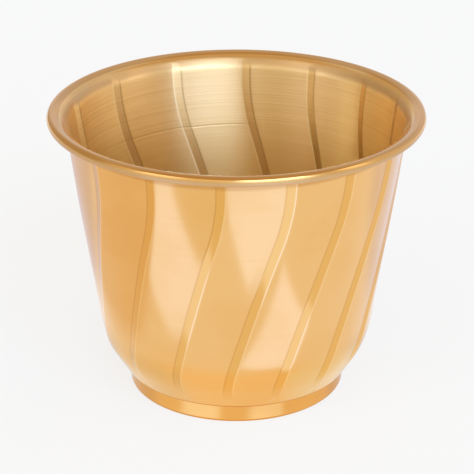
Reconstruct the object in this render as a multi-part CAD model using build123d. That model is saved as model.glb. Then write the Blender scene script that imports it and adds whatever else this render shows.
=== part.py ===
"""Swirl-fluted sheet-metal planter pot with a wired rim and a brazed foot.

Millimetres, +Z up. The origin is the middle of the circle that the foot stands on.
"""
import math
import os

from build123d import *

# ---- driving dimensions -------------------------------------------------------------
RIM_DIAMETER = 160.0        # over the rolled bead
HEIGHT = 125.0              # floor to the top of the bead
SHEET = 0.8                 # body sheet

# wall: the line of its outer face, before the flutes are pressed
WALL_RADIUS = 71.9          # at WALL_LEVEL
WALL_LEVEL = 118.0
WALL_TAPER = 8.2            # degrees off the vertical
BELLY_RADIUS = 40.0         # round between the wall and the heel
BELLY_TOP = 32.0            # level where the wall line ends
HEEL_TAPER = 31.8           # degrees off the vertical
HEEL_CORNER = 2.5           # round between the heel and the ledge

# rim
WIRE_DIAMETER = 2.8
FLARE_RADIUS = 8.0          # inner face of the lip
CURL_SWEEP = 262.0          # degrees that the sheet runs round the wire
LIP_LEVEL = 121.0           # the flutes have died out here

# flutes: each is a step outwards, going counter-clockwise seen from above
FLUTES = 15
STEP_HEIGHT = 0.8
STEP_WIDTH = 3.2
FIRST_STEP = 211.5          # degrees
INDEX_DRIFT = 5.9           # degrees, the indexing head ran slightly off the pot's axis
INDEX_DRIFT_AT = 240.0      # degrees, direction of the largest error
TWIST_RATE = 0.268          # degrees per mm of height in the straight helix
TWIST_TOP = (115.0, 89.0)   # levels where the helix starts, and where it is straight
TWIST_BOTTOM = (28.0, 16.0) # levels where it stops being straight, and where it ends
FADE_TOP = (117.0, 121.0)   # levels between which the steps die out under the bead
FADE_BOTTOM = (24.0, 11.0)  # levels between which they die out over the foot
SECTION_LEVELS = (11, 14, 17, 20, 24, 28, 32, 40, 50, 60, 70, 80, 89, 98, 107, 113, 117, 119, 120, 121)

# bottom
LEDGE_LEVEL = 8.0           # underside of the turned-in ledge, and top of the foot ring
LEDGE_RADIUS = 41.0         # hole in the ledge
PLATE_THICKNESS = 1.0
FOOT_RADIUS = 46.8          # outer face of the foot ring, at the floor
FOOT_TOP_RADIUS = 46.5
FOOT_SHEET = 1.0
FOOT_CORNER = 1.4           # outer round of the turned-in foot edge
FOOT_LIP_RADIUS = 42.5      # hole in the turned-in foot edge
FOOT_BRAZE_LEG = 1.4

# ---- worked out from them -----------------------------------------------------------
BEAD_RADIUS = WIRE_DIAMETER / 2 + SHEET
BEAD_CENTRE = Vector(RIM_DIAMETER / 2 - BEAD_RADIUS, HEIGHT - BEAD_RADIUS)
WALL_SLOPE = math.tan(math.radians(WALL_TAPER))
WALL_NORMAL = Vector(1, 0).rotate(Axis.Z, -WALL_TAPER)
HEEL_SLOPE = math.tan(math.radians(HEEL_TAPER))
HEEL_NORMAL = Vector(1, 0).rotate(Axis.Z, -HEEL_TAPER)
BELLY_START = Vector(WALL_RADIUS + (BELLY_TOP - WALL_LEVEL) * WALL_SLOPE, BELLY_TOP)
BELLY_CENTRE = BELLY_START - WALL_NORMAL * BELLY_RADIUS
FOOT_SLOPE = (FOOT_RADIUS - FOOT_TOP_RADIUS) / LEDGE_LEVEL
FOOT_NORMAL = Vector(1, FOOT_SLOPE).normalized()


def flare_centre():
    """Centre of the lip's arc: it leaves the wall and runs on into the bead, tangent to both."""
    on_parallel = Vector(WALL_RADIUS, WALL_LEVEL) + WALL_NORMAL * (FLARE_RADIUS - SHEET)
    up_the_wall = Vector(WALL_SLOPE, 1).normalized()
    to_bead = BEAD_CENTRE - on_parallel
    reach = FLARE_RADIUS - BEAD_RADIUS
    along = to_bead.dot(up_the_wall) - math.sqrt(reach**2 - to_bead.dot(WALL_NORMAL)**2)
    return on_parallel + up_the_wall * along


FLARE_CENTRE = flare_centre()


def arc_radius(centre, radius, level, side):
    """Distance from the axis of an arc about centre, at a level, on its outer (1) or inner (-1) side."""
    return centre.X + side * math.sqrt(radius**2 - (level - centre.Y)**2)


def line_radius(point, slope, level):
    """Distance from the axis of a straight line through a point, at a level."""
    return point.X + (level - point.Y) * slope


def wall_radius(level, depth=0.0):
    """Distance from the axis of the smooth wall, at a level and a depth into the sheet."""
    flare_radius = FLARE_RADIUS - SHEET + depth
    belly_radius = BELLY_RADIUS - depth
    belly_top = BELLY_CENTRE + WALL_NORMAL * belly_radius
    belly_bottom = BELLY_CENTRE + HEEL_NORMAL * belly_radius
    if level >= (FLARE_CENTRE - WALL_NORMAL * flare_radius).Y:
        return arc_radius(FLARE_CENTRE, flare_radius, level, -1)
    if level >= belly_top.Y:
        return line_radius(belly_top, WALL_SLOPE, level)
    if level >= belly_bottom.Y:
        return arc_radius(BELLY_CENTRE, belly_radius, level, 1)
    return line_radius(belly_bottom, HEEL_SLOPE, level)


def share(value, start, end):
    """How far value has gone from start to end, kept between 0 and 1."""
    return min(max((value - start) / (end - start), 0.0), 1.0)


def twist(level):
    """Degrees that a flute has turned clockwise at a level, coming down from the rim."""
    top_start, top_end = TWIST_TOP
    bottom_start, bottom_end = TWIST_BOTTOM
    run_in = share(level, top_start, top_end)
    straight = share(level, top_end, bottom_start)
    run_out = share(level, bottom_start, bottom_end)
    millimetres = (top_start - top_end) * run_in**2 / 2
    millimetres += (top_end - bottom_start) * straight
    millimetres += (bottom_start - bottom_end) * (run_out - run_out**2 / 2)
    return TWIST_RATE * millimetres


def step_height(level):
    """Height of the steps at a level: whole on the wall, nothing at the lip and the heel."""
    fade = share(level, FADE_TOP[1], FADE_TOP[0]) * share(level, FADE_BOTTOM[1], FADE_BOTTOM[0])
    return STEP_HEIGHT * fade * fade * (3 - 2 * fade)


def step_angle(flute):
    """Azimuth in degrees of the middle of a step under the rim."""
    even = FIRST_STEP + flute * 360 / FLUTES
    return even + INDEX_DRIFT * math.cos(math.radians(even - INDEX_DRIFT_AT))


def polar(radius, degrees, level):
    """Point at a distance from the axis, an azimuth and a level."""
    return Vector(
        radius * math.cos(math.radians(degrees)), radius * math.sin(math.radians(degrees)), level
    )


def section(level, depth):
    """Closed outline of the fluted wall at a level: a half panel, a step and a half panel per flute."""
    radius = wall_radius(level, depth)
    rise = step_height(level) / 2
    half_step = math.degrees(STEP_WIDTH / 2 / radius)
    steps = [step_angle(flute) - twist(level) for flute in range(FLUTES)]
    steps.append(steps[0] + 360)
    edges = []
    for here, following in zip(steps, steps[1:]):
        crest, foot = here + half_step, following - half_step
        middle = (crest + foot) / 2
        stations = (
            (crest, rise), ((crest + middle) / 2, rise / 2), (middle, 0.0),
            ((middle + foot) / 2, -rise / 2), (foot, -rise), (following, 0.0),
            (following + half_step, rise),
        )
        points = [polar(radius + offset, angle, level) for angle, offset in stations]
        edges += [ThreePointArc(*points[first:first + 3]) for first in (0, 2, 4)]
    start = edges.pop(0)    # the outline starts in the middle of a panel, well away from any step
    return Wire(edges + [start])


def fluted_solid(depth):
    """Solid inside the fluted wall, measured at a depth into the sheet."""
    return Solid.make_loft([section(level, depth) for level in SECTION_LEVELS])


def revolved(outline):
    """Ring with a section outline drawn in the radius and height plane."""
    return revolve(Plane.XZ * make_face(outline), Axis.Z)


def lip():
    """Smooth flared lip, curled over outwards round the rim wire."""
    to_bead = (BEAD_CENTRE - FLARE_CENTRE).normalized()
    inner_radius, outer_radius = FLARE_RADIUS, FLARE_RADIUS - SHEET
    inner_cut = Vector(wall_radius(LIP_LEVEL, SHEET), LIP_LEVEL)
    outer_cut = Vector(wall_radius(LIP_LEVEL), LIP_LEVEL)
    half_curl, whole_curl = (to_bead.rotate(Axis.Z, -CURL_SWEEP * part) for part in (0.5, 1))

    def flare(cut, radius):
        halfway = ((cut - FLARE_CENTRE).normalized() + to_bead).normalized()
        return ThreePointArc(cut, FLARE_CENTRE + halfway * radius, FLARE_CENTRE + to_bead * radius)

    def curl(radius):
        directions = (to_bead, half_curl, whole_curl)
        return ThreePointArc(*(BEAD_CENTRE + direction * radius for direction in directions))

    return revolved([
        Line(outer_cut, inner_cut),
        flare(inner_cut, inner_radius),
        curl(BEAD_RADIUS),
        Line(BEAD_CENTRE + whole_curl * BEAD_RADIUS, BEAD_CENTRE + whole_curl * WIRE_DIAMETER / 2),
        curl(WIRE_DIAMETER / 2),
        flare(outer_cut, outer_radius),
    ])


def corner_arc(centre, normal, radius):
    """Round of a turned-in edge, from the face with that normal to the flat lip under it."""
    halfway = (normal + Vector(0, -1)).normalized()
    return ThreePointArc(
        centre + normal * radius, centre + halfway * radius, centre - Vector(0, radius)
    )


def turned_in(top_outer, top_inner, outer, inner, lip_radius):
    """Ring of sheet that comes down, goes round a corner and runs in to a flat lip."""
    underside = Vector(lip_radius, (outer @ 1).Y)
    topside = Vector(lip_radius, (inner @ 1).Y)
    return revolved([
        Line(top_inner, top_outer),
        Line(top_outer, outer @ 0),
        outer,
        Line(outer @ 1, underside),
        Line(underside, topside),
        Line(topside, inner @ 1),
        inner,
        Line(inner @ 0, top_inner),
    ])


def heel_rounds():
    """Outer and inner round between the heel and the ledge."""
    level = LEDGE_LEVEL + HEEL_CORNER
    centre = Vector(wall_radius(level, HEEL_CORNER), level)
    return [corner_arc(centre, HEEL_NORMAL, radius) for radius in (HEEL_CORNER, HEEL_CORNER - SHEET)]


def ledge():
    """Smooth bottom of the heel, turned in to a flat ledge."""
    cut = SECTION_LEVELS[0]
    top_outer, top_inner = Vector(wall_radius(cut), cut), Vector(wall_radius(cut, SHEET), cut)
    return turned_in(top_outer, top_inner, *heel_rounds(), LEDGE_RADIUS)


def body_shell():
    """One pressed sheet: fluted wall, flared and curled lip, heel and turned-in ledge."""
    wall = fluted_solid(0.0) - fluted_solid(SHEET)
    return wall + lip() + ledge()


def rim_wire():
    """Steel wire inside the curl."""
    return Location((0, 0, BEAD_CENTRE.Y)) * Torus(BEAD_CENTRE.X, WIRE_DIAMETER / 2)


def base_plate():
    """Flat disc that lies on the ledge and closes the pot."""
    inner = heel_rounds()[1]
    align = (Align.CENTER, Align.CENTER, Align.MIN)
    return Location((0, 0, (inner @ 1).Y)) * Cylinder((inner @ 1).X, PLATE_THICKNESS, align=align)


def base_braze():
    """Fillet that seals the edge of the base plate to the heel, inside the pot."""
    inner = heel_rounds()[1]
    plate_edge = inner @ 1 + Vector(0, PLATE_THICKNESS)
    return revolved([Line(inner @ 1, plate_edge), Line(plate_edge, inner @ 0), inner])


def foot_top(depth):
    """Point at the top of the foot ring, at a depth into its sheet."""
    return Vector(FOOT_TOP_RADIUS - depth * math.hypot(1, FOOT_SLOPE), LEDGE_LEVEL)


def foot_ring():
    """Ring that the pot stands on, with its bottom edge turned in."""
    centre = Vector(foot_top(FOOT_CORNER).X + FOOT_SLOPE * (LEDGE_LEVEL - FOOT_CORNER), FOOT_CORNER)
    outer = corner_arc(centre, FOOT_NORMAL, FOOT_CORNER)
    inner = corner_arc(centre, FOOT_NORMAL, FOOT_CORNER - FOOT_SHEET)
    return turned_in(foot_top(0), foot_top(FOOT_SHEET), outer, inner, FOOT_LIP_RADIUS)


def foot_braze():
    """Fillet that holds the foot ring under the ledge, run round the inside of the ring."""
    corner = foot_top(FOOT_SHEET)
    on_ledge = corner - Vector(FOOT_BRAZE_LEG, 0)
    on_ring = corner + Vector(FOOT_SLOPE, -1).normalized() * FOOT_BRAZE_LEG
    return revolved([Line(corner, on_ring), Line(on_ring, on_ledge), Line(on_ledge, corner)])


NODES = {
    "body_shell": body_shell,
    "rim_wire": rim_wire,
    "base_plate": base_plate,
    "base_braze": base_braze,
    "foot_ring": foot_ring,
    "foot_braze": foot_braze,
}

os.makedirs("parts", exist_ok=True)
for node, make in NODES.items():
    shape = make()
    export_step(shape, f"parts/{node}.step")
    print(f"{node}: {shape.volume:.1f} mm3, valid {shape.is_valid}")
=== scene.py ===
"""Swirl-fluted brass planter pot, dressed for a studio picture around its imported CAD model.

The body, the foot ring and the two brazed fillets are modelled here from the sizes below.
The rim wire and the base plate keep their CAD meshes and get a finish each.
Sizes in the classes are millimetres and degrees; the meshes are in metres, in the CAD frame.
"""
from __future__ import annotations

import logging
import math
from dataclasses import dataclass, field
from enum import Enum
from typing import Any, NamedTuple, Sequence, Union

import bpy
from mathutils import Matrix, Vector, noise

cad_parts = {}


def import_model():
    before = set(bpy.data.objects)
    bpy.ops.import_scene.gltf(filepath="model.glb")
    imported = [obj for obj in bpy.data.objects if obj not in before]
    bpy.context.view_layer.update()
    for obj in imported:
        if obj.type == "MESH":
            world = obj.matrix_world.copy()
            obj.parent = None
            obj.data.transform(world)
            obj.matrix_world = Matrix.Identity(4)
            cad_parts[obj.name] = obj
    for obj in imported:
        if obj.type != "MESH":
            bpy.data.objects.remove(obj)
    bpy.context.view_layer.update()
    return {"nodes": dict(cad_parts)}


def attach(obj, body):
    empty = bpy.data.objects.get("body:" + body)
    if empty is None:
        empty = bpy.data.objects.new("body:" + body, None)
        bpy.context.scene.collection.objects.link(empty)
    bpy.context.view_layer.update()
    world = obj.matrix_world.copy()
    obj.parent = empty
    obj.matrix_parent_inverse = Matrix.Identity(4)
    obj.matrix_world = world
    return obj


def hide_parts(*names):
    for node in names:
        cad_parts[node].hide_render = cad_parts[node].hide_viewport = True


MM = 0.001
BODY = "root"
WELD = 0.01 * MM
LOG = logging.getLogger("planter")
MIX_INPUTS = (0, 6, 7)      # of a Mix node for colours: share, first and second colour
MIX_RESULT = 2
FOLD_BAND = (0.1, 0.9)      # where the painted shade and highlight of a fold fade in
LEVEL_BRUSHING = 0.25       # of a turn: the brush lines run round the pot

Colour = tuple[float, float, float]
Band = tuple[float, float]  # from nothing to all of what fades in between two values


# ---- shader maths ------------------------------------------------------------------


class Value:
    """A shader socket that takes part in Python arithmetic by adding Math nodes."""

    def __init__(self, graph: "Graph", socket: bpy.types.NodeSocket) -> None:
        """Wrap a socket.

        Args:
            graph: The node graph that the socket belongs to.
            socket: The output socket to wrap.
        """
        self.graph = graph
        self.socket = socket

    def _math(self, operation: str, *operands: "Operand") -> "Value":
        """Add a Math node and return its result."""
        return self.graph.node("ShaderNodeMath", {"operation": operation}, *operands)

    def __add__(self, other: "Operand") -> "Value":
        """Sum."""
        return self._math("ADD", self, other)

    def __radd__(self, other: "Operand") -> "Value":
        """Sum, with the socket second."""
        return self._math("ADD", other, self)

    def __sub__(self, other: "Operand") -> "Value":
        """Difference."""
        return self._math("SUBTRACT", self, other)

    def __rsub__(self, other: "Operand") -> "Value":
        """Difference, with the socket second."""
        return self._math("SUBTRACT", other, self)

    def __mul__(self, other: "Operand") -> "Value":
        """Product."""
        return self._math("MULTIPLY", self, other)

    def __rmul__(self, other: "Operand") -> "Value":
        """Product, with the socket second."""
        return self._math("MULTIPLY", other, self)

    def __pow__(self, other: "Operand") -> "Value":
        """Power."""
        return self._math("POWER", self, other)

    def off(self, place: float) -> "Value":
        """Distance from a number, whichever side of it."""
        return self._math("ABSOLUTE", self - place)

    def between(self, low: float, high: float) -> "Value":
        """Share of the way from low to high, eased and kept between 0 and 1.

        Args:
            low: Value that gives 0.
            high: Value that gives 1.

        Returns:
            The eased share.
        """
        eased = {"interpolation_type": "SMOOTHSTEP"}
        return self.graph.node("ShaderNodeMapRange", eased, self, low, high)


Operand = Union[Value, float, Sequence[float]]


class Graph:
    """The node tree of one material or world, with one method that makes every node."""

    def __init__(self, holder: bpy.types.Material | bpy.types.World) -> None:
        """Start an empty tree.

        Args:
            holder: The new material or world.
        """
        self.holder = holder
        holder.use_nodes = True
        self.tree = holder.node_tree
        self.tree.nodes.clear()

    def node(
        self, kind: str, settings: dict[str, Any] | None = None, *values: Any, **named: Any
    ) -> Value:
        """Add a node, set it up and link or fill its inputs.

        Args:
            kind: The node's Blender type.
            settings: Properties to set first; "out" picks the output.
            values: Inputs in order; None leaves an input as it is.
            named: Inputs by name, with underscores for blanks.

        Returns:
            The node's chosen output.
        """
        made = self.tree.nodes.new(kind)
        settings = dict(settings or {})
        out = settings.pop("out", 0)
        for key, value in settings.items():
            setattr(made, key, value)
        by_name = [(key.replace("_", " "), value) for key, value in named.items()]
        for key, value in list(enumerate(values)) + by_name:
            if value is not None:
                self.feed(made.inputs[key], value)
        return Value(self, made.outputs[out])

    def feed(self, socket: bpy.types.NodeSocket, value: Operand) -> None:
        """Link a value to a socket, or set the socket to a constant.

        Args:
            socket: The input to feed.
            value: A value, a number, a vector or a colour of three parts.
        """
        if isinstance(value, Value):
            self.tree.links.new(value.socket, socket)
        elif socket.type == "RGBA":
            socket.default_value = (*value, 1.0)
        else:
            socket.default_value = value

    def place(self, scale: Sequence[float]) -> Value:
        """Object coordinates as pattern cells.

        Args:
            scale: Pattern cells per millimetre along X, Y and Z.

        Returns:
            The stretched coordinates.
        """
        coordinates = self.node("ShaderNodeTexCoord", {"out": "Object"})
        stretch = tuple(value / MM for value in scale)
        return self.node("ShaderNodeMapping", None, Vector=coordinates, Scale=stretch)

    def mark(self, name: str) -> Value:
        """The piece's own attribute of that name."""
        return self.node("ShaderNodeAttribute", {"attribute_name": name, "out": "Fac"})

    def axes(self) -> tuple[Value, Value, Value]:
        """Object coordinates in millimetres, one value each for X, Y and Z."""
        return self.parts(self.place((1.0, 1.0, 1.0)))

    def parts(self, vector: Value) -> tuple[Value, Value, Value]:
        """The three parts of a vector."""
        return tuple(self.node("ShaderNodeSeparateXYZ", {"out": axis}, vector) for axis in range(3))

    def radius(self) -> Value:
        """Distance from the pot's axis in millimetres."""
        x, y, _ = self.axes()
        return (x * x + y * y) ** 0.5

    def noise(self, at: Sequence[float] | Value, detail: float = 2.0, roughness: float = 0.5) -> Value:
        """Soft noise between 0 and 1.

        Args:
            at: Cells per millimetre along X, Y and Z, or the coordinates to read.
            detail: Number of finer layers.
            roughness: How strong the finer layers are.

        Returns:
            The noise value.
        """
        vector = at if isinstance(at, Value) else self.place(at)
        return self.node(
            "ShaderNodeTexNoise", None, Vector=vector, Scale=1.0, Detail=detail, Roughness=roughness
        )

    def mix(self, share: Operand, first: Operand, second: Operand) -> Value:
        """Mix two colours.

        Args:
            share: How much of the second colour.
            first: Colour at share 0.
            second: Colour at share 1.

        Returns:
            The mixed colour.
        """
        made = self.tree.nodes.new("ShaderNodeMix")
        made.data_type = "RGBA"
        for place, value in zip(MIX_INPUTS, (share, first, second)):
            self.feed(made.inputs[place], value)
        return Value(self, made.outputs[MIX_RESULT])

    def layers(self, base: Operand, *coats: tuple[Operand, Operand]) -> Operand:
        """Lay colours over one another.

        Args:
            base: The lowest colour.
            coats: Share and colour of each further one, from the lowest up.

        Returns:
            The mixed colour.
        """
        for share, coat in coats:
            base = self.mix(share, base, coat)
        return base

    def flute_shade_masks(self) -> tuple[Value, Value, Value]:
        """Masks of the painted shade and highlight along the flutes, from the piece's attributes.

        Returns:
            Shares of painted shade in the hollow, of painted highlight on the crest and of painted shade
            on the slope.
        """
        fold = self.mark("fold")
        low, high = FOLD_BAND
        return fold.between(low, high), fold.between(-low, -high), self.mark("slope")

    def metal(self, colour: Operand, roughness: Value, relief: Value, **further: Any) -> Value:
        """Shader of a metal.

        Args:
            colour: Its colour.
            roughness: Its roughness.
            relief: Its normal.
            further: Other inputs by name.

        Returns:
            The shader.
        """
        inputs = {"Base_Color": colour, "Metallic": 1.0, "Roughness": roughness, "Normal": relief}
        return self.node("ShaderNodeBsdfPrincipled", None, **{**inputs, **further})

    def bump(self, height: Value, depth: float, below: Value | None = None) -> Value:
        """Turn a height into a normal.

        Args:
            height: Height between 0 and 1.
            depth: Height of the relief in millimetres.
            below: Normal of a coarser relief under this one.

        Returns:
            The normal.
        """
        return self.node(
            "ShaderNodeBump", None, Strength=1.0, Distance=depth * MM, Height=height, Normal=below
        )

    def finish(self, surface: Value) -> bpy.types.Material | bpy.types.World:
        """Link a shader to the output.

        Args:
            surface: The shader.

        Returns:
            The finished material or world.
        """
        is_world = isinstance(self.holder, bpy.types.World)
        kind = "ShaderNodeOutputWorld" if is_world else "ShaderNodeOutputMaterial"
        self.feed(self.tree.nodes.new(kind).inputs["Surface"], surface)
        return self.holder


# ---- finishes ----------------------------------------------------------------------


class Pattern(NamedTuple):
    """Soft noise that a finish varies with."""

    cells: tuple[float, float, float]       # per millimetre along X, Y and Z
    detail: float = 2.0                     # number of finer layers
    roughness: float = 0.5                  # how strong the finer layers are


@dataclass(frozen=True)
class Finish:
    """A metal finish; each kind puts its own shader together."""

    name: str

    def material(self) -> bpy.types.Material:
        """Make the material.

        Returns:
            The finished material.
        """
        graph = Graph(bpy.data.materials.new(self.name))
        return graph.finish(self.shader(graph))

    def shader(self, graph: Graph) -> Value:
        """Put the finish's shader together in a graph.

        Args:
            graph: The new material's graph.

        Returns:
            The shader.
        """
        raise NotImplementedError


@dataclass(frozen=True)
class SatinBrass(Finish):
    """Lacquered satin brass: warm gold with faint level brush lines under a clear coat."""

    name: str = "body_satin_brass"
    colour: Colour = (0.86, 0.51, 0.185)
    shade: Colour = (0.83, 0.47, 0.15)
    cloud: Pattern = Pattern((0.03, 0.03, 0.03), 4.0)
    cloud_band: Band = (0.42, 0.62)
    cloud_share: float = 0.6
    lines: Pattern = Pattern((0.02, 0.02, 1.4), 5.0, 0.7)
    line_band: Band = (0.45, 0.7)
    line_share: float = 0.25
    grain: Pattern = Pattern((0.9, 0.9, 0.9), 3.0)
    grain_depth: float = 0.00105    # millimetres
    roughness: float = 0.13
    uneven: float = 0.05            # how much the roughness varies
    brush_depth: float = 0.0021     # millimetres
    anisotropic: float = 0.2
    coat: float = 0.25
    coat_roughness: float = 0.12
    # painted shade on the steps' slopes and in their hollows, painted highlight on their crests
    slope: Colour = (0.80, 0.43, 0.10)
    slope_share: float = 0.8
    crease: Colour = (0.62, 0.30, 0.07)
    crease_share: float = 0.55
    crest: Colour = (1.0, 0.70, 0.36)
    crest_share: float = 0.5
    # seam colour, also used for painted shade on the puckers, under the rolled edge and along the foot's
    # bottom edge
    seam_and_shade: Colour = (0.52, 0.22, 0.05)
    seam_share: float = 0.6
    seam_levels: Band = (9.8, 8.6)  # the seam's tint fades in here, going down; on the foot it is painted shade along the bottom edge
    seam_end: Band = (7.0, 7.6)     # and out again here
    # painted shade in the hollows and on the slopes of the steps low down, over the puckers
    pucker_levels: Band = (19.0, 11.0)
    pucker_slope_share: float = 0.35
    shadow_levels: Band = (115.6, 117.4)    # painted shade close under the rolled edge
    shadow_share: float = 0.5

    def shader(self, graph: Graph) -> Value:
        """Brass with its brush lines, then painted shade and highlights on the flutes, the seam band
        (painted shade along the foot's bottom edge), and painted shade on the puckers and under the
        rolled edge.

        Args:
            graph: The new material's graph.

        Returns:
            The shader.
        """
        cloud, lines = graph.noise(*self.cloud), graph.noise(*self.lines)
        rubbed = cloud.between(*self.cloud_band) * self.cloud_share
        rubbed = rubbed + lines.between(*self.line_band) * self.line_share
        hollow, crest, slope = graph.flute_shade_masks()
        _, _, level = graph.axes()
        seam_and_shade = level.between(*self.seam_levels) * level.between(*self.seam_end)
        # painted shade over the puckers, in the seam colour
        pucker_shade = (hollow + slope * self.pucker_slope_share) * level.between(*self.pucker_levels)
        colour = graph.layers(
            self.colour,
            (rubbed, self.shade),
            # painted shade on the slopes and in the hollows, painted highlight on the crests
            (slope * self.slope_share, self.slope),
            (hollow * self.crease_share, self.crease),
            (crest * self.crest_share, self.crest),
            (seam_and_shade * self.seam_share, self.seam_and_shade),
            (pucker_shade * self.seam_share, self.seam_and_shade),
            # painted shade close under the rolled edge
            (level.between(*self.shadow_levels) * self.shadow_share, self.seam_and_shade),
        )
        return graph.metal(
            colour, self.roughness + (cloud - 0.5) * self.uneven + (lines - 0.5) * self.uneven,
            graph.bump(lines, self.brush_depth, graph.bump(graph.noise(*self.grain), self.grain_depth)),
            Anisotropic=self.anisotropic, Anisotropic_Rotation=LEVEL_BRUSHING,
            Coat_Weight=self.coat, Coat_Roughness=self.coat_roughness,
        )


@dataclass(frozen=True)
class BrushedInside(Finish):
    """Inside of the body: duller antique gold, brushed round and round, with a few scratches."""

    name: str = "inside_brushed_brass"
    lip: SatinBrass = field(default_factory=SatinBrass)
    colour: Colour = (0.94, 0.70, 0.39)
    shade: Colour = (0.82, 0.575, 0.27)
    cloud: Pattern = Pattern((0.035, 0.035, 0.05), 4.0)
    cloud_share: float = 0.25
    coarse: Pattern = Pattern((0.012, 0.012, 2.6), 2.0, 0.6)
    fine: Pattern = Pattern((0.03, 0.03, 7.8), 4.0, 0.7)
    brush_band: Band = (0.43, 0.58)
    brush_share: float = 0.8
    brush_depth: float = 0.007      # millimetres
    scuff: Pattern = Pattern((0.05, 0.05, 2.3), 1.0)
    scuff_band: Band = (0.70, 0.76)
    scratch: Pattern = Pattern((0.9, 0.12, 0.5), 0.0)
    scratch_band: Band = (0.77, 0.80)
    scratch_depth: float = 0.012    # of the scuffs too
    # painted shade: darker towards the bottom of the pot
    bottom: Colour = (0.70, 0.475, 0.19)
    bottom_levels: Band = (112.0, 60.0)
    # painted shade on the steps' slopes, more of it further down, and in their hollows; painted highlight
    # on their crests; the slope colour also tints the scored ring
    slope: Colour = (0.60, 0.38, 0.13)
    slope_share: float = 0.2
    slope_gain: float = 0.25        # what the share gains on the way down
    slope_levels: Band = (120.0, 85.0)
    crease: Colour = (0.38, 0.21, 0.06)
    crease_share: float = 0.6
    crest: Colour = (1.0, 0.86, 0.55)
    crest_share: float = 0.7
    collar: Colour = (0.66, 0.41, 0.19)         # painted shade where the wall rolls over into the lip
    collar_levels: Band = (118.6, 120.8)
    collar_share: float = 0.9
    collar_roughness: float = 0.1
    bead: Colour = (0.60, 0.33, 0.10)           # painted shade on the front of the rolled edge
    bead_radii: Band = (75.2, 76.8)
    bead_front: Band = (-15.0, -60.0)           # the painted shade is towards the front only
    bead_share: float = 0.95
    bead_roughness: float = 0.14
    ring_level: float = 93.0                    # of the line that a tool scored round the wall
    ring_width: Band = (0.5, 0.15)
    ring_right: Band = (14.0, -4.0)             # where the line fades in, coming from each side
    ring_left: Band = (-72.0, -50.0)
    ring_back: Band = (0.0, 20.0)
    ring_depth: float = 0.03
    ring_share: float = 0.35
    roughness: float = 0.36
    uneven: float = 0.12
    anisotropic: float = 0.72
    coat: float = 0.15

    def shader(self, graph: Graph) -> Value:
        """Brushed metal with its scratches and scored ring, painted shade on the flutes' slopes and
        hollows, deeper down and under the lip, and painted highlights on the crests; it blends into the
        lip's own finish, which has painted shade on the front of the bead.

        Args:
            graph: The new material's graph.

        Returns:
            The shader.
        """
        inside = graph.mark("inside")
        hollow, crest, slope = graph.flute_shade_masks()
        x, y, level = graph.axes()
        cloud, fine = graph.noise(*self.cloud), graph.noise(*self.fine)
        brushed = graph.noise(*self.coarse) * 0.5 + fine * 0.5
        scored = graph.noise(*self.scuff).between(*self.scuff_band)
        scored = scored + graph.noise(*self.scratch).between(*self.scratch_band)
        collar = level.between(*self.collar_levels)
        bead = graph.radius().between(*self.bead_radii)
        # painted shade on the slopes, more of it further down
        slope_shade = slope * (self.slope_share + level.between(*self.slope_levels) * self.slope_gain)
        ring = (level + cloud).off(self.ring_level).between(*self.ring_width)
        for across, fade in ((x, self.ring_right), (x, self.ring_left), (y, self.ring_back)):
            ring = ring * across.between(*fade)
        metal = graph.layers(
            self.colour,
            (brushed.between(*self.brush_band) * self.brush_share + cloud * self.cloud_share, self.shade),
            # painted shade, darker towards the bottom
            (level.between(*self.bottom_levels), self.bottom),
            # painted shade on the slopes and in the hollows, painted highlight on the crests
            (slope_shade, self.slope),
            (hollow * self.crease_share, self.crease),
            (crest * self.crest_share, self.crest),
            # painted shade under the lip
            (collar * self.collar_share, self.collar),
            (ring * self.ring_share, self.slope),
        )
        # painted shade on the front of the rolled edge
        dulled = bead * y.between(*self.bead_front) * self.bead_share
        rough_lip = self.lip.roughness + bead * self.bead_roughness
        rough_inside = self.roughness + collar * self.collar_roughness + (fine - 0.5) * self.uneven
        scored = scored * (self.scratch_depth / self.brush_depth)
        height = (brushed - scored - ring * (self.ring_depth / self.brush_depth)) * inside
        return graph.metal(
            graph.layers(self.lip.colour, (dulled, self.bead), (inside, metal)),
            rough_lip * (1.0 - inside) + inside * rough_inside,
            graph.bump(height, self.brush_depth),
            Anisotropic=self.anisotropic, Anisotropic_Rotation=LEVEL_BRUSHING,
            Coat_Weight=self.coat, Coat_Roughness=self.lip.coat_roughness,
        )


@dataclass(frozen=True)
class SpunBrass(Finish):
    """Flat brass disc with the rings that spinning leaves, and dry water marks."""

    name: str = "plate_spun_brass"
    colour: Colour = (0.78, 0.48, 0.18)
    shade: Colour = (0.60, 0.34, 0.11)
    rings: float = 1.6              # per millimetre of radius
    ring_band: Band = (0.4, 0.65)
    ring_share: float = 0.5
    ring_depth: float = 0.006
    water: Pattern = Pattern((0.06, 0.06, 0.06), 5.0)
    water_edge: tuple[float, float, float] = (0.52, 0.58, 0.66)     # a mark is its dried-up edge
    water_share: float = 0.4
    roughness: float = 0.34
    water_roughness: float = 0.12
    uneven: float = 0.1
    coat: float = 0.2
    coat_roughness: float = 0.2

    def shader(self, graph: Graph) -> Value:
        """Rings of constant radius, and the water marks over them.

        Args:
            graph: The new material's graph.

        Returns:
            The shader.
        """
        ring_place = graph.node("ShaderNodeCombineXYZ", None, graph.radius() * self.rings, 0.5, 0.5)
        rings = graph.noise(ring_place, detail=4.0, roughness=0.7)
        water = graph.noise(*self.water)
        outer, peak, inner = self.water_edge
        stain = water.between(outer, peak) * (1.0 - water.between(peak, inner))
        dulled = rings.between(*self.ring_band) * self.ring_share + stain * self.water_share
        return graph.metal(
            graph.mix(dulled, self.colour, self.shade),
            self.roughness + stain * self.water_roughness + (rings - 0.5) * self.uneven,
            graph.bump(rings, self.ring_depth), Coat_Weight=self.coat, Coat_Roughness=self.coat_roughness,
        )


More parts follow.
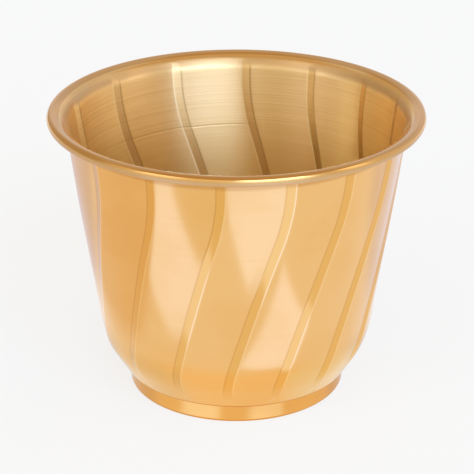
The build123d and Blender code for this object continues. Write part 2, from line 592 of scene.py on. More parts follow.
@dataclass(frozen=True)
class BrazeMetal(Finish):
    """Brazing alloy: paler than the sheet, grainy, with scale burnt on along its edges."""

    name: str = "braze_alloy"
    colour: Colour = (0.80, 0.62, 0.33)
    scale_colour: Colour = (0.30, 0.17, 0.07)
    lumps: Pattern = Pattern((0.35, 0.35, 0.5), 4.0)
    lump_band: Band = (0.50, 0.68)
    lump_share: float = 0.7
    lump_depth: float = 0.12
    specks: Pattern = Pattern((1.6, 1.6, 1.6), 3.0)
    speck_band: Band = (0.62, 0.75)
    speck_share: float = 0.3
    speck_depth: float = 0.03
    roughness: float = 0.38
    burnt_roughness: float = 0.25

    def shader(self, graph: Graph) -> Value:
        """Lumpy alloy with burnt scale on its lumps and specks.

        Args:
            graph: The new material's graph.

        Returns:
            The shader.
        """
        lumps, specks = graph.noise(*self.lumps), graph.noise(*self.specks)
        burnt = lumps.between(*self.lump_band) * self.lump_share
        burnt = burnt + specks.between(*self.speck_band) * self.speck_share
        return graph.metal(
            graph.mix(burnt, self.colour, self.scale_colour),
            self.roughness + burnt * self.burnt_roughness,
            graph.bump(specks, self.speck_depth, graph.bump(lumps, self.lump_depth)),
        )


@dataclass(frozen=True)
class DrawnSteel(Finish):
    """Drawn steel wire: grey, with die lines along it and spots of rust."""

    name: str = "wire_drawn_steel"
    colour: Colour = (0.46, 0.45, 0.43)
    rust: Colour = (0.20, 0.085, 0.035)
    rust_spots: Pattern = Pattern((0.12, 0.12, 0.12), 6.0)
    rust_band: Band = (0.60, 0.72)
    rust_dullness: float = 0.8      # how much less of a metal the rust is
    rust_roughness: float = 0.4
    roughness: float = 0.32
    die_lines: float = 6.0          # per millimetre across the wire
    die_depth: float = 0.01

    def shader(self, graph: Graph) -> Value:
        """Die lines round the pot with the wire, and the rust over them.

        Args:
            graph: The new material's graph.

        Returns:
            The shader.
        """
        _, _, level = graph.axes()
        across = (graph.radius() * self.die_lines, level * self.die_lines)
        lines = graph.noise(graph.node("ShaderNodeCombineXYZ", None, *across, 0.5), detail=3.0)
        rusty = graph.noise(*self.rust_spots).between(*self.rust_band)
        return graph.metal(
            graph.mix(rusty, self.colour, self.rust), self.roughness + rusty * self.rust_roughness,
            graph.bump(lines, self.die_depth), Metallic=1.0 - rusty * self.rust_dullness,
        )


# ---- modelling helpers -------------------------------------------------------------


def smooth(share: float) -> float:
    """Ease a share, first kept between 0 and 1."""
    share = min(max(share, 0.0), 1.0)
    return share * share * (3.0 - 2.0 * share)


def clamped(value: float, start: float, end: float) -> float:
    """How far value has gone from start to end, kept between 0 and 1."""
    return min(max((value - start) / (end - start), 0.0), 1.0)


def toward(degrees: float) -> Vector:
    """Unit direction in the radius and height plane."""
    return Vector((math.cos(math.radians(degrees)), math.sin(math.radians(degrees))))


def mean(points: Sequence[Vector]) -> Vector:
    """Middle of some points in a plane."""
    return sum(points, Vector((0.0, 0.0))) / len(points)


def arc(centre: Vector, radius: float, start: float, end: float, pitch: float) -> list[Vector]:
    """Points along an arc.

    Args:
        centre: Centre of the arc.
        radius: Its radius.
        start: Direction in degrees of its first point.
        end: Direction in degrees of its last point.
        pitch: Longest step between two points.

    Returns:
        The points, both ends included.
    """
    sweep = end - start
    steps = max(1, math.ceil(math.radians(abs(sweep)) * radius / pitch))
    return [centre + toward(start + sweep * step / steps) * radius for step in range(steps + 1)]


def divided(start: Vector, end: Vector, pitch: float) -> list[Vector]:
    """Points inside a straight run, its two ends left out.

    Args:
        start: Start of the run.
        end: End of the run.
        pitch: Longest step between two points.

    Returns:
        The points between the ends.
    """
    steps = max(1, math.ceil((end - start).length / pitch))
    return [start.lerp(end, step / steps) for step in range(1, steps)]


@dataclass
class Lathe:
    """Turns an outline in the radius and height plane into a piece round the pot's axis."""

    name: str
    segments: int = 256

    def turn(self, outline: Sequence[Vector]) -> bpy.types.Object:
        """Draw the outline point by point and spin it a full turn.

        Args:
            outline: Points as radius and height; a closed outline repeats its first point.

        Returns:
            The turned surface, welded, with its faces outwards.
        """
        bpy.ops.object.select_all(action="DESELECT")
        bpy.ops.mesh.primitive_plane_add(size=1.0 * MM, location=(0.0, 0.0, 0.0))
        piece = bpy.context.object
        piece.name = piece.data.name = self.name
        bpy.ops.object.mode_set(mode="EDIT")
        bpy.ops.mesh.select_all(action="SELECT")
        bpy.ops.mesh.merge(type="CENTER")
        bpy.ops.transform.translate(value=self.lift(outline[0]))
        for here, following in zip(outline, outline[1:]):
            move = {"value": self.lift(following - here)}
            bpy.ops.mesh.extrude_region_move(TRANSFORM_OT_translate=move)
        bpy.ops.mesh.select_all(action="SELECT")
        bpy.ops.mesh.spin(
            steps=self.segments, angle=math.tau, center=(0.0, 0.0, 0.0), axis=(0.0, 0.0, 1.0)
        )
        bpy.ops.mesh.select_all(action="SELECT")
        bpy.ops.mesh.remove_doubles(threshold=WELD)
        bpy.ops.mesh.normals_make_consistent(inside=False)
        bpy.ops.object.mode_set(mode="OBJECT")
        return piece

    @staticmethod
    def lift(point: Vector) -> tuple[float, float, float]:
        """Turn a radius and a height in millimetres into a place or a move in metres."""
        return (point.x * MM, 0.0, point.y * MM)


def face_outwards(piece: bpy.types.Object) -> None:
    """Flip a turned wall if most of its area looks at the axis.

    Args:
        piece: An open wall round the axis.
    """
    if sum(face.area * face.normal.xy.dot(face.center.xy) for face in piece.data.polygons) < 0.0:
        bpy.ops.object.mode_set(mode="EDIT")
        bpy.ops.mesh.select_all(action="SELECT")
        bpy.ops.mesh.flip_normals()
        bpy.ops.object.mode_set(mode="OBJECT")


def thicken(piece: bpy.types.Object, sheet: float) -> None:
    """Give a surface the thickness of its sheet, inwards from its faces.

    Args:
        piece: The active piece.
        sheet: Thickness in millimetres.
    """
    modifier = piece.modifiers.new("sheet", "SOLIDIFY")
    modifier.thickness = sheet * MM
    modifier.offset = -1.0
    modifier.use_even_offset = True
    modifier.use_quality_normals = True
    bpy.ops.object.modifier_apply(modifier=modifier.name)


def hand_over(piece: bpy.types.Object, node: str, sharp: float = 40.0) -> None:
    """Smooth a finished piece and tell the frame what it rides on and stands for.

    Args:
        piece: The finished piece.
        node: CAD node that it stands for.
        sharp: Edges with a larger angle than this stay sharp, in degrees.
    """
    bpy.ops.object.select_all(action="DESELECT")
    piece.select_set(True)
    bpy.context.view_layer.objects.active = piece
    bpy.ops.object.shade_smooth_by_angle(angle=math.radians(sharp))
    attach(piece, BODY)
    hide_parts(node)
    LOG.info("%s: %d faces, stands for %s", piece.name, len(piece.data.polygons), node)


# ---- the body ----------------------------------------------------------------------


class Side(Enum):
    """Faces of the body sheet, by the place of their finish in the piece's slots."""

    OUTSIDE = 0
    INSIDE = 1


@dataclass
class WallForm:
    """Outer face of the body sheet before the flutes are pressed, in the radius and height plane."""

    rim_diameter: float = 160.0
    height: float = 125.0
    sheet: float = 0.8
    wall_radius: float = 71.9
    wall_level: float = 118.0
    wall_taper: float = 8.2
    belly_radius: float = 40.0
    belly_top: float = 32.0
    heel_taper: float = 31.8
    heel_corner: float = 2.5
    wire_diameter: float = 2.8
    flare_radius: float = 8.0
    curl_sweep: float = 262.0
    ledge_level: float = 8.0
    ledge_radius: float = 41.0
    ledge_pitch: float = 2.5        # longest steps of the mesh along the outline, from its start
    heel_pitch: float = 0.5
    cone_pitch: float = 0.9
    belly_pitch: float = 1.1
    wall_pitch: float = 1.5
    lip_pitch: float = 0.8
    curl_pitch: float = 0.3

    @property
    def bead_centre(self) -> Vector:
        """Centre of the bead that the rim is curled into."""
        bead_radius = self.wire_diameter / 2 + self.sheet
        return Vector((self.rim_diameter / 2 - bead_radius, self.height - bead_radius))

    @property
    def flare_centre(self) -> Vector:
        """Centre of the lip's arc, which is tangent to the wall and to the bead."""
        normal, along_wall = toward(-self.wall_taper), toward(90.0 - self.wall_taper)
        wall_top = Vector((self.wall_radius, self.wall_level))
        on_parallel = wall_top + normal * (self.flare_radius - self.sheet)
        to_bead = self.bead_centre - on_parallel
        reach = self.flare_radius - self.wire_diameter / 2 - self.sheet
        return on_parallel + along_wall * (
            to_bead.dot(along_wall) - math.sqrt(reach**2 - to_bead.dot(normal)**2)
        )

    @property
    def belly_centre(self) -> Vector:
        """Centre of the round between the wall and the heel."""
        slope = math.tan(math.radians(self.wall_taper))
        radius = self.wall_radius + (self.belly_top - self.wall_level) * slope
        return Vector((radius, self.belly_top)) - toward(-self.wall_taper) * self.belly_radius

    def heel_centre(self) -> Vector:
        """Centre of the round between the heel and the ledge."""
        inset = self.belly_radius - self.heel_corner
        bottom = self.belly_centre + toward(-self.heel_taper) * inset
        level = self.ledge_level + self.heel_corner
        slope = math.tan(math.radians(self.heel_taper))
        return Vector((bottom.x + (level - bottom.y) * slope, level))

    def outline(self) -> list[Vector]:
        """Outline from the hole in the ledge up the wall and round the wire.

        Returns:
            Points as radius and height.
        """
        flare, bead = self.flare_centre, self.bead_centre
        into_bead = math.degrees(math.atan2(bead.y - flare.y, bead.x - flare.x))
        heel_turn, wall_turn, curl_end = -self.heel_taper, -self.wall_taper, into_bead - self.curl_sweep
        heel = arc(self.heel_centre(), self.heel_corner, -90.0, heel_turn, self.heel_pitch)
        belly = arc(self.belly_centre, self.belly_radius, heel_turn, wall_turn, self.belly_pitch)
        lip = arc(flare, self.flare_radius - self.sheet, 180.0 + wall_turn, into_bead, self.lip_pitch)
        curl = arc(bead, self.wire_diameter / 2, into_bead, curl_end, self.curl_pitch)
        hole = Vector((self.ledge_radius, self.ledge_level))
        ledge = divided(hole, heel[0], self.ledge_pitch)
        cone = divided(heel[-1], belly[0], self.cone_pitch)
        wall = divided(belly[-1], lip[0], self.wall_pitch)
        return [hole] + ledge + heel + cone + belly + wall + lip + curl[1:]


@dataclass
class Flutes:
    """Steps pressed into the wall: each one rises going counter-clockwise, then its panel falls."""

    count: int = 15
    columns: int = 24               # of the mesh, for each flute
    step_columns: int = 14          # of those, on the step itself
    height: float = 0.95
    width: float = 4.7
    rounding: float = 0.8           # length of each rounded edge of a step
    painted_line_width: float = 0.36        # of the painted shade and highlight lines along those edges
    first: float = 211.5            # azimuth of the first step under the rim
    drift: float = 5.9              # the indexing ran slightly off the pot's axis
    drift_at: float = 240.0
    twist_rate: float = 0.268
    twist_top: tuple[float, float] = (115.0, 89.0)
    twist_bottom: tuple[float, float] = (28.0, 16.0)
    fade_top: tuple[float, float] = (119.0, 122.5)
    fade_bottom: tuple[float, float] = (24.0, 11.0)
    pucker_depth: float = 0.30      # small creases where the steps run out over the foot
    pucker_width: float = 1.5
    pucker_levels: tuple[float, float, float] = (8.6, 10.6, 14.0)
    ripple: float = 0.012           # unevenness left by hand work
    ripple_size: float = 22.0

    def middle(self, flute: int) -> float:
        """Azimuth in degrees of the middle of a step under the rim."""
        even = self.first + flute * 360.0 / self.count
        return even + self.drift * math.cos(math.radians(even - self.drift_at))

    def twist(self, level: float) -> float:
        """Degrees that a flute has turned clockwise at a level, coming down from the rim."""
        top_start, top_end = self.twist_top
        bottom_start, bottom_end = self.twist_bottom
        run_in = clamped(level, top_start, top_end)
        run_out = clamped(level, bottom_start, bottom_end)
        millimetres = (top_start - top_end) * run_in**2 / 2
        millimetres += (top_end - bottom_start) * clamped(level, top_end, bottom_start)
        millimetres += (bottom_start - bottom_end) * (run_out - run_out**2 / 2)
        return self.twist_rate * millimetres

    def fade(self, level: float) -> float:
        """Share of the whole step height at a level."""
        top, bottom = self.fade_top, self.fade_bottom
        return smooth(clamped(level, top[1], top[0]) * clamped(level, bottom[1], bottom[0]))

    def climb(self, along: float) -> float:
        """Share of the step climbed at a distance from its middle: round, straight, round.

        Args:
            along: Distance from the step's middle in millimetres, counter-clockwise.

        Returns:
            Share from 0 to 1.
        """
        run = min(max(along + self.width / 2, 0.0), self.width)
        slope = 1.0 / (self.width - self.rounding)
        if run < self.rounding:
            return slope * run * run / (2 * self.rounding)
        if run > self.width - self.rounding:
            return 1.0 - slope * (self.width - run) ** 2 / (2 * self.rounding)
        return slope * (run - self.rounding / 2)

    def marks(self, column: int, level: float) -> tuple[float, float]:
        """Masks in a column that say where shade and highlight are painted along a step.

        Args:
            column: Number of the column of the mesh.
            level: Height.

        Returns:
            The fold, towards 1 in a hollow and towards -1 on a crest, and the share of slope.
        """
        place = column % self.columns
        if place >= self.step_columns:
            return 0.0, 0.0
        along = self.width * place / (self.step_columns - 1)
        hollow = math.exp(-(((along - self.rounding / 2) / self.painted_line_width) ** 2))
        crest = math.exp(-(((self.width - along - self.rounding / 2) / self.painted_line_width) ** 2))
        slope = smooth(min(along, self.width - along) / self.rounding)
        fade = self.fade(level)
        return (hollow - crest) * fade, slope * fade

    def pressed(self, column: int, radius: float, level: float) -> Vector:
        """Place of a point of the wall after pressing.

        Args:
            column: Number of its column of the mesh.
            radius: Distance from the axis before pressing.
            level: Height.

        Returns:
            Its new place in millimetres.
        """
        flute, place = divmod(column, self.columns)
        here = self.middle(flute)
        following = self.middle(flute + 1) if flute + 1 < self.count else self.middle(0) + 360.0
        pitch = following - here
        half_step = math.degrees(self.width / 2 / radius)
        if place < self.step_columns:
            offset = half_step * (2 * place / (self.step_columns - 1) - 1)
        else:
            share = (place - self.step_columns + 1) / (self.columns - self.step_columns + 1)
            offset = half_step + share * (pitch - 2 * half_step)
        along = math.radians(offset) * radius
        rise = self.climb(along) - 0.5 - offset / pitch
        angle = math.radians(here + offset - self.twist(level))
        low, deep, high = self.pucker_levels
        crease = smooth(min(clamped(level, low, deep), clamped(level, high, deep)))
        crease *= math.exp(-((along / self.pucker_width) ** 2))
        fade = self.fade(level)
        radius += self.height * fade * rise - self.pucker_depth * crease
        at = Vector((radius * math.cos(angle), radius * math.sin(angle), level))
        radius += self.ripple * fade * noise.noise(at / self.ripple_size)
        return Vector((radius * math.cos(angle), radius * math.sin(angle), level))


@dataclass
class FlutedBody:
    """The body: one sheet, spun, fluted and curled over outwards round the rim wire."""

    form: WallForm = field(default_factory=WallForm)
    flutes: Flutes = field(default_factory=Flutes)
    outside: SatinBrass = field(default_factory=SatinBrass)
    inside: BrushedInside = field(default_factory=BrushedInside)
    inside_top: Band = (124.0, 121.6)   # levels between which the inside finish fades in

    def build(self) -> bpy.types.Object:
        """Model, dress and hand over the body.

        Returns:
            The finished body.
        """
        flutes = self.flutes
        body = Lathe("pot_body", flutes.count * flutes.columns).turn(self.form.outline())
        face_outwards(body)
        self.press_flutes(body)
        outer_count = len(body.data.vertices)
        thicken(body, self.form.sheet)
        self.mark_inside(body, outer_count)
        finishes = {Side.OUTSIDE: self.outside, Side.INSIDE: self.inside}
        for side in Side:
            body.data.materials.append(finishes[side].material())
        hand_over(body, "body_shell")
        return body

    def press_flutes(self, body: bpy.types.Object) -> None:
        """Move the turned surface's points to where the press puts them.

        Args:
            body: The turned surface.
        """
        columns = self.flutes.count * self.flutes.columns
        folds = body.data.attributes.new("fold", "FLOAT", "POINT")
        slopes = body.data.attributes.new("slope", "FLOAT", "POINT")
        for vertex in body.data.vertices:
            turn = math.atan2(vertex.co.y, vertex.co.x) / math.tau
            column = round(turn * columns) % columns
            fold, slope = self.flutes.marks(column, vertex.co.z / MM)
            folds.data[vertex.index].value = fold
            slopes.data[vertex.index].value = slope
            vertex.co = self.flutes.pressed(column, vertex.co.xy.length / MM, vertex.co.z / MM) * MM

    def mark_inside(self, body: bpy.types.Object, outer_count: int) -> None:
        """Give the faces inside the pot their finish, and blend it in under the lip.

        Args:
            body: The body with its thickness.
            outer_count: Number of points on the sheet's outer face, which come first.
        """
        start, full = self.inside_top
        marks = body.data.attributes.new("inside", "FLOAT", "POINT")
        for vertex in body.data.vertices:
            inner = vertex.index >= outer_count
            share = smooth(clamped(vertex.co.z / MM, start, full))
            marks.data[vertex.index].value = share if inner else 0.0
        for face in body.data.polygons:
            inner = min(face.vertices) >= outer_count and face.center.z < start * MM
            face.material_index = (Side.INSIDE if inner else Side.OUTSIDE).value


# ---- the foot and the brazed fillets -----------------------------------------------


@dataclass
class FootRing:
    """Ring that the pot stands on: a strip of sheet with its bottom edge turned in."""

    base_radius: float = 46.8
    top_radius: float = 46.5
    top_level: float = 8.0
    sheet: float = 1.0
    corner: float = 1.4
    lip_radius: float = 42.5
    face_pitch: float = 0.8         # longest steps of the mesh along the outline
    corner_pitch: float = 0.25
    bottom_pitch: float = 1.0
    dent: float = 0.10              # unevenness left by rolling the strip
    dent_waves: tuple[int, int] = (7, 11)
    # painted shade: a deeper orange copy of the body's brass stands in for the shaded table that the foot
    # reflects, and the seam tint is painted shade along its bottom edge
    finish: SatinBrass = SatinBrass(
        name="foot_satin_brass", colour=(0.88, 0.43, 0.095), shade=(0.80, 0.36, 0.07), roughness=0.2,
        coat=0.3, seam_levels=(1.6, 0.7), seam_end=(-0.2, -0.1),
    )

    @property
    def slope(self) -> float:
        """How much the face leans in for each millimetre of height."""
        return (self.base_radius - self.top_radius) / self.top_level

    def outline(self) -> list[Vector]:
        """Outer face from the top edge down, round the corner and in to the lip."""
        lean = math.degrees(math.atan(self.slope))
        inset = self.corner * math.hypot(1.0, self.slope)
        centre_x = self.top_radius - inset + self.slope * (self.top_level - self.corner)
        corner = arc(Vector((centre_x, self.corner)), self.corner, lean, -90.0, self.corner_pitch)
        top, lip = Vector((self.top_radius, self.top_level)), Vector((self.lip_radius, 0.0))
        face = divided(top, corner[0], self.face_pitch)
        return [top] + face + corner + divided(corner[-1], lip, self.bottom_pitch) + [lip]

    def build(self) -> bpy.types.Object:
        """Model, dress and hand over the foot ring.

        Returns:
            The finished foot ring.
        """
        foot = Lathe("pot_foot").turn(self.outline())
        face_outwards(foot)
        self.roll_unevenly(foot)
        thicken(foot, self.sheet)
        foot.data.materials.append(self.finish.material())
        hand_over(foot, "foot_ring")
        return foot

    def roll_unevenly(self, foot: bpy.types.Object) -> None:
        """Draw the strip in a little here and there, as the rolls left it.

        Args:
            foot: The turned surface.
        """
        deepest = 2 * len(self.dent_waves)
        for vertex in foot.data.vertices:
            turn = math.atan2(vertex.co.y, vertex.co.x)
            hollow = sum(1.0 - math.cos(waves * turn) for waves in self.dent_waves) / deepest
            level_share = math.sin(math.pi * clamped(vertex.co.z / MM, 0.0, self.top_level))
            vertex.co.xy *= 1.0 - self.dent * hollow * level_share / self.base_radius


@dataclass
class Fillet:
    """Ring of brazing alloy in a corner, with the slight waves of a hand-fed joint."""

    name: str
    node: str
    corner: list[Vector]            # points on the parts it joins, round the corner
    open_steps: int = 5             # of the mesh across its open face
    digits: int = 2                 # decimals of a millimetre that tell its points apart
    sag: float = 0.12               # how far its open face dips
    wave: float = 0.10
    wave_size: float = 3.5
    finish: BrazeMetal = BrazeMetal()

    def build(self) -> bpy.types.Object:
        """Model, dress and hand over the fillet.

        Returns:
            The finished fillet.
        """
        start, end = self.corner[-1], self.corner[0]
        width = (end - start).length
        inward = (mean(self.corner) - start.lerp(end, 0.5)).normalized()
        open_face = []
        for point in divided(start, end, width / self.open_steps):
            share = (point - start).length / width
            open_face.append(point + inward * self.sag * math.sin(math.pi * share))
        ring = Lathe(self.name).turn(self.corner + open_face + [self.corner[0]])
        self.make_waves(ring, open_face, inward)
        ring.data.materials.append(self.finish.material())
        hand_over(ring, self.node)
        return ring

    def make_waves(self, ring: bpy.types.Object, open_face: Sequence[Vector], inward: Vector) -> None:
        """Press slight waves into the open face.

        Args:
            ring: The turned fillet.
            open_face: Outline points that are free to move.
            inward: Direction into the corner.
        """
        free = {self.rounded(point.x, point.y) for point in open_face}
        for vertex in ring.data.vertices:
            radial = vertex.co.xy.length
            if self.rounded(radial / MM, vertex.co.z / MM) in free:
                dip = self.wave * (0.5 + 0.5 * noise.noise(vertex.co / (self.wave_size * MM)))
                vertex.co.z += inward.y * dip * MM
                vertex.co.xy *= 1.0 + inward.x * dip * MM / radial

    def rounded(self, radius: float, level: float) -> tuple[float, float]:
        """Radius and level, rounded so that points can be compared."""
        return round(radius, self.digits), round(level, self.digits)


def fillets(
    form: WallForm, foot: FootRing, plate: float = 1.0, leg: float = 1.4, pitch: float = 0.35
) -> list[Fillet]:
    """The two brazed joints: base plate to heel, and foot ring to ledge.

    Args:
        form: Sizes of the body.
        foot: Sizes of the foot ring.
        plate: Thickness of the base plate.
        leg: Length of the foot fillet's legs.
        pitch: Longest step of the mesh round the heel.

    Returns:
        The fillets, not yet built.
    """
    heel = form.heel_centre()
    inside_heel = arc(heel, form.heel_corner - form.sheet, -90.0, -form.heel_taper, pitch)
    plate_edge = inside_heel[0] + Vector((0.0, plate))
    corner = Vector((foot.top_radius - foot.sheet * math.hypot(1.0, foot.slope), foot.top_level))
    on_ring = corner + Vector((foot.slope, -1.0)).normalized() * leg
    on_ledge = corner - Vector((leg, 0.0))
    return [
        Fillet("pot_base_braze", "base_braze", [plate_edge] + inside_heel),
        Fillet("pot_foot_braze", "foot_braze", [on_ring, corner, on_ledge]),
    ]


# ---- stage, light and camera -------------------------------------------------------


@dataclass(frozen=True)
class SoftLight:
    """A soft-edged patch of the studio's surroundings, seen from the pot; angles in degrees."""

    azimuth: Band                   # from the camera's side, towards the right
    elevation: Band
    edge: tuple[float, float]       # width of its soft edge, sideways and upwards
    glow: Colour

    def share(self, azimuth: Value, elevation: Value) -> Value:
        """Soft-edged share of the light.

        Args:
            azimuth: Direction sideways.
            elevation: Direction upwards.

        Returns:
            1 inside the light and 0 outside it.
        """
        shares = []
        for angle, span, edge in zip((azimuth, elevation), (self.azimuth, self.elevation), self.edge):
            middle, half = (span[0] + span[1]) / 2, (span[1] - span[0]) / 2
            shares.append(angle.off(middle).between(half + edge / 2, half - edge / 2))
        return shares[0] * shares[1]


@dataclass(frozen=True)
class Pool:
    """A soft-edged pool of light or shade on the table that only the pot's gloss picks up."""

    corners: tuple[tuple[float, float], ...]    # convex, in millimetres
    edge: float                                 # half the width of its soft edge
    glow: Colour

    def share(self, x: Value, y: Value) -> Value:
        """Soft-edged share of the pool.

        Args:
            x: Place from left to right in millimetres.
            y: Place from front to back in millimetres.

        Returns:
            1 inside the pool and 0 outside it.
        """
        corners = [Vector(corner) for corner in self.corners]
        middle = mean(corners)
        shares = []
        for here, following in zip(corners, corners[1:] + corners[:1]):
            inward = (following - here).orthogonal().normalized()
            inward *= math.copysign(1.0, (middle - here).dot(inward))
            depth = x * inward.x + y * inward.y - here.dot(inward)
            shares.append(depth.between(-self.edge, self.edge))
        return math.prod(shares[1:], start=shares[0])


@dataclass
class Studio:
    """White light table inside a dome of soft light, and the camera."""

    table_side: float = 12000.0
    table_glow: Colour = (0.780, 0.780, 0.778)
    table_colour: Colour = (0.16, 0.16, 0.16)
    sheen_depth: float = 0.5            # of the sheen layer under the table's top
    sheen_opening: Band = (62.0, 98.0)  # its hole round the foot, with a soft edge
    sheen: Colour = (1.0, 1.0, 1.03)
    pools: tuple[Pool, ...] = (
        # warm half-shade on the left, and cool light behind the pot
        Pool(
            ((-260.0, 45.0), (-120.0, 50.0), (-90.0, -40.0), (-135.0, -120.0), (-220.0, -140.0)),
            14.0, (0.92, 0.80, 0.64),
        ),
        Pool(
            ((-400.0, 70.0), (-90.0, 70.0), (-60.0, 400.0), (-400.0, 400.0)),
            25.0, (0.80, 0.76, 0.84),
        ),
        Pool(
            ((400.0, 50.0), (95.0, 40.0), (60.0, 400.0), (400.0, 400.0)),
            30.0, (0.88, 0.86, 0.95),
        ),
        # warm light that the pot throws round itself
        Pool(
            ((-62.0, -30.0), (-52.0, -72.0), (0.0, -88.0), (50.0, -76.0), (54.0, -40.0), (0.0, 20.0)),
            34.0, (1.05, 0.91, 0.68),
        ),
        # half-shade in front of the left softbox's pool
        Pool(
            ((-125.0, -165.0), (-50.0, -150.0), (-28.0, -230.0), (-130.0, -230.0)),
            8.0, (0.95, 0.91, 0.82),
        ),
        # pools of the two front softboxes
        Pool(
            ((-70.0, -84.0), (-122.0, -84.0), (-208.0, -208.0), (-52.0, -146.0), (-54.0, -100.0)),
            6.0, (1.14, 1.29, 1.92),
        ),
        Pool(
            ((24.0, -140.0), (-22.0, -224.0), (70.0, -226.0), (140.0, -196.0), (96.0, -156.0)),
            5.0, (1.16, 1.35, 2.05),
        ),
        Pool(
            ((2.0, -96.0), (42.0, -76.0), (88.0, -78.0), (84.0, -136.0), (52.0, -120.0)),
            4.0, (1.16, 1.32, 2.00),
        ),
    )
    surroundings: Colour = (0.95, 0.95, 0.96)
    soft_lights: tuple[SoftLight, ...] = (
        # the dome over the pot and behind it, and its dim left side
        SoftLight((-400.0, 400.0), (46.0, 120.0), (20.0, 14.0), (0.66, 0.54, 0.38)),
        SoftLight((118.0, 250.0), (-60.0, 16.0), (25.0, 10.0), (0.78, 0.76, 0.74)),
        SoftLight((-250.0, -98.0), (-60.0, 16.0), (25.0, 10.0), (0.78, 0.76, 0.74)),
        SoftLight((120.0, 240.0), (20.0, 62.0), (30.0, 10.0), (0.72, 0.74, 0.82)),
        SoftLight((-240.0, -120.0), (20.0, 62.0), (30.0, 10.0), (0.72, 0.74, 0.82)),
        SoftLight((-160.0, -84.0), (-8.0, 46.0), (16.0, 10.0), (0.62, 0.54, 0.40)),
        # the front softboxes, and the images of two of them low down in front of the foot
        SoftLight((-88.0, 95.0), (14.0, 44.0), (20.0, 10.0), (1.0, 0.95, 0.80)),
        SoftLight((-64.0, -34.0), (12.0, 46.0), (5.0, 6.0), (2.1, 2.2, 2.3)),
        SoftLight((2.0, 46.0), (12.0, 46.0), (5.0, 6.0), (3.8, 5.0, 6.9)),
        SoftLight((-35.0, -4.0), (12.0, 46.0), (6.0, 6.0), (1.45, 1.40, 1.05)),
        SoftLight((70.0, 87.0), (8.0, 42.0), (4.0, 5.0), (2.1, 2.0, 1.8)),
        SoftLight((-60.0, -18.0), (-33.0, -4.0), (9.0, 3.0), (1.13, 1.42, 2.3)),
        SoftLight((14.0, 50.0), (-33.0, -4.0), (6.0, 3.0), (1.13, 1.42, 2.3)),
        # the warm light that the pot throws on the table
        SoftLight((-400.0, 0.0), (-120.0, -36.0), (20.0, 10.0), (0.92, 0.87, 0.74)),
        SoftLight((0.0, 400.0), (-120.0, -36.0), (20.0, 10.0), (1.0, 1.02, 0.95)),
        SoftLight((-72.0, 66.0), (-120.0, -36.0), (40.0, 10.0), (1.07, 0.91, 0.66)),
        SoftLight((-400.0, 400.0), (-120.0, -66.0), (20.0, 22.0), (1.04, 0.90, 0.67)),
        SoftLight((158.0, 400.0), (-120.0, -40.0), (30.0, 16.0), (1.04, 0.90, 0.67)),
        SoftLight((-400.0, -158.0), (-120.0, -40.0), (30.0, 16.0), (1.02, 0.88, 0.67)),
    )
    camera_place: tuple[float, float, float] = (0.24, -828.08, 425.51)
    camera_pitch: float = 66.51
    lens: float = 158.28
    sensor: float = 36.0
    far_clip: float = 100.0             # metres

    def build(self) -> None:
        """Set up the table, its sheen, the dome and the camera."""
        self.lay_table()
        self.lay_sheen()
        self.light_dome()
        self.set_camera()

    def lay_plane(self, name: str, level: float) -> bpy.types.Object:
        """Lay a square plane of the table's size.

        Args:
            name: Name of the plane.
            level: Its height in millimetres.

        Returns:
            The plane, marked as part of the stage.
        """
        bpy.ops.object.select_all(action="DESELECT")
        bpy.ops.mesh.primitive_plane_add(size=self.table_side * MM, location=(0.0, 0.0, level * MM))
        bpy.ops.object.transform_apply(location=True)
        plane = bpy.context.object
        plane.name = name
        return plane

    def lay_sheen(self) -> None:
        """Lay the layer that the pot's gloss sees in place of the table's top."""
        sheen = self.lay_plane("table_sheen", -self.sheen_depth)
        sheen.visible_camera = sheen.visible_diffuse = sheen.visible_shadow = False
        graph = Graph(bpy.data.materials.new("table_sheen"))
        x, y, _ = graph.axes()
        glow = graph.layers(self.sheen, *((pool.share(x, y), pool.glow) for pool in self.pools))
        lit = graph.node("ShaderNodeEmission", None, Color=glow, Strength=1.0)
        clear = graph.node("ShaderNodeBsdfTransparent")
        opening = graph.radius().between(*self.sheen_opening)
        shader = graph.node("ShaderNodeMixShader", None, opening, clear, lit)
        sheen.data.materials.append(graph.finish(shader))

    def lay_table(self) -> None:
        """Lay the table's plain pale top."""
        table = self.lay_plane("light_table", 0.0)
        table.visible_glossy = False
        graph = Graph(bpy.data.materials.new("table_top"))
        lit = graph.node("ShaderNodeEmission", None, Color=self.table_glow, Strength=1.0)
        matt = graph.node("ShaderNodeBsdfDiffuse", None, Color=self.table_colour)
        table.data.materials.append(graph.finish(graph.node("ShaderNodeAddShader", None, lit, matt)))

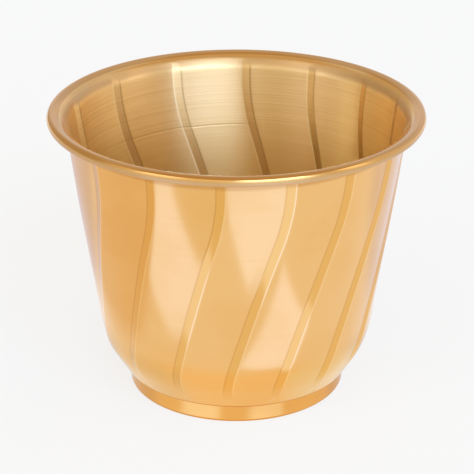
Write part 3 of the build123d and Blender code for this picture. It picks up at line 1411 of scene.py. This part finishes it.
    def light_dome(self) -> None:
        """Surround the pot with even light and the soft lights."""
        graph = Graph(bpy.data.worlds.new("studio"))
        direction = graph.node("ShaderNodeTexCoord", {"out": "Generated"})
        x, y, z = graph.parts(direction)
        azimuth = graph.node("ShaderNodeMath", {"operation": "ARCTAN2"}, x, 0.0 - y) * math.degrees(1.0)
        elevation = graph.node("ShaderNodeMath", {"operation": "ARCSINE"}, z) * math.degrees(1.0)
        shares = (light.share(azimuth, elevation) for light in self.soft_lights)
        coats = ((share, light.glow) for share, light in zip(shares, self.soft_lights))
        glow = graph.layers(self.surroundings, *coats)
        world = graph.finish(graph.node("ShaderNodeBackground", None, Color=glow, Strength=1.0))
        bpy.context.scene.world = world

    def set_camera(self) -> None:
        """Stand the camera in front of the pot, looking down a little."""
        data = bpy.data.cameras.new("camera")
        data.lens = self.lens
        data.sensor_width = self.sensor
        data.clip_end = self.far_clip
        camera = bpy.data.objects.new("camera", data)
        camera.location = Vector(self.camera_place) * MM
        camera.rotation_euler = (math.radians(self.camera_pitch), 0.0, 0.0)
        bpy.context.collection.objects.link(camera)
        bpy.context.scene.camera = camera
        bpy.context.scene.view_settings.view_transform = "Standard"


# ---- the whole picture -------------------------------------------------------------


def dress_cad_nodes(nodes: dict[str, Any]) -> None:
    """Give the CAD nodes that stay their finishes.

    Args:
        nodes: The frame's CAD nodes by name.
    """
    for name, finish in (("base_plate", SpunBrass()), ("rim_wire", DrawnSteel())):
        mesh = nodes[name].data
        mesh.materials.clear()
        mesh.materials.append(finish.material())
        LOG.info("%s: CAD mesh with the finish %s", name, finish.name)


def corners(bounds: Sequence[Vector]) -> list[list[float]]:
    """Lowest and highest corner as plain lists of numbers."""
    return [[float(part) for part in corner] for corner in bounds]


def main() -> None:
    """Load the frame, build every piece and the studio."""
    logging.basicConfig(level=logging.INFO, format="%(name)s: %(message)s")
    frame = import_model()
    body, foot = FlutedBody(), FootRing()
    body.build()
    foot.build()
    for fillet in fillets(body.form, foot):
        fillet.build()
    dress_cad_nodes(frame["nodes"])
    Studio().build()


if __name__ == "__main__":
    main()
